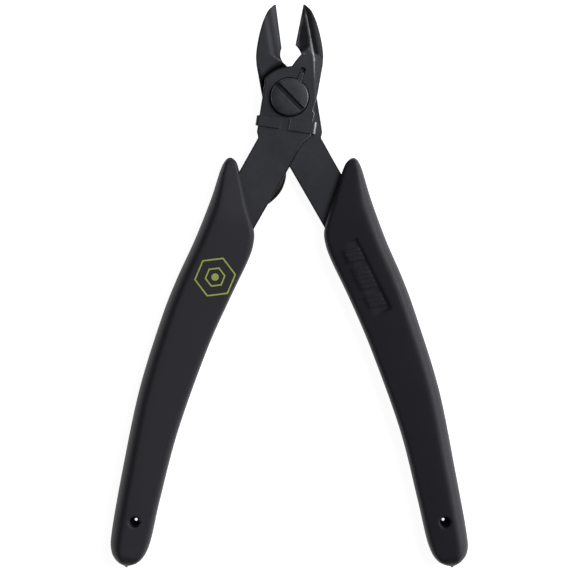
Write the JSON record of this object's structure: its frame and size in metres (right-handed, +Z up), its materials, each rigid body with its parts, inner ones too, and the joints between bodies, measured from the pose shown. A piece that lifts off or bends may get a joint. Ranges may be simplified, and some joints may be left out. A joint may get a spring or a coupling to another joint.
{
  "type": "flush cutter",
  "caption": "Slim flush cutter for electronics work: two stacked steel blades on a screw pivot, sprung open, in moulded grips.",
  "frame": {"origin": "middle of the tool's box as it lies open on its back, on the surface that it lies on", "axes": "+Y along the tool towards the jaws, +Z up through the stacked blades towards the screw head, +X towards the grip on the back blade"},
  "size_m": [0.078, 0.1228, 0.011],
  "materials": {
    "black_steel": "black oxide, satin, with ground faces",
    "screw_steel": "black oxide, satin, turned face",
    "bright_steel": "bare spring steel, half bright",
    "grip_rubber": "matte moulded rubber, charcoal",
    "mark_ink": "yellow-green pad print"
  },
  "bodies": {
    "front_half": {"front_blade": "black_steel", "left_grip": "grip_rubber", "pivot_screw": "screw_steel", "lock_washer": "black_steel", "pivot_sleeve": "bright_steel", "disc_spring": "bright_steel", "pivot_nut": "screw_steel", "spring_clip": "black_steel", "return_spring": "bright_steel", "spring_rivet": "bright_steel"},
    "back_half": {"back_blade": "black_steel", "right_grip": "grip_rubber"}
  },
  "joints": [
    {"name": "pivot", "type": "hinge", "parent": "front_half", "child": "back_half", "pos_m": [0.00008, 0.04108, 0.0055], "axis": [0, 0, -1], "range_deg": [0, 17.8], "stiffness_Nm_per_rad": 1, "springref_deg": -6.88, "deforming": ["return_spring"]}
  ]
}
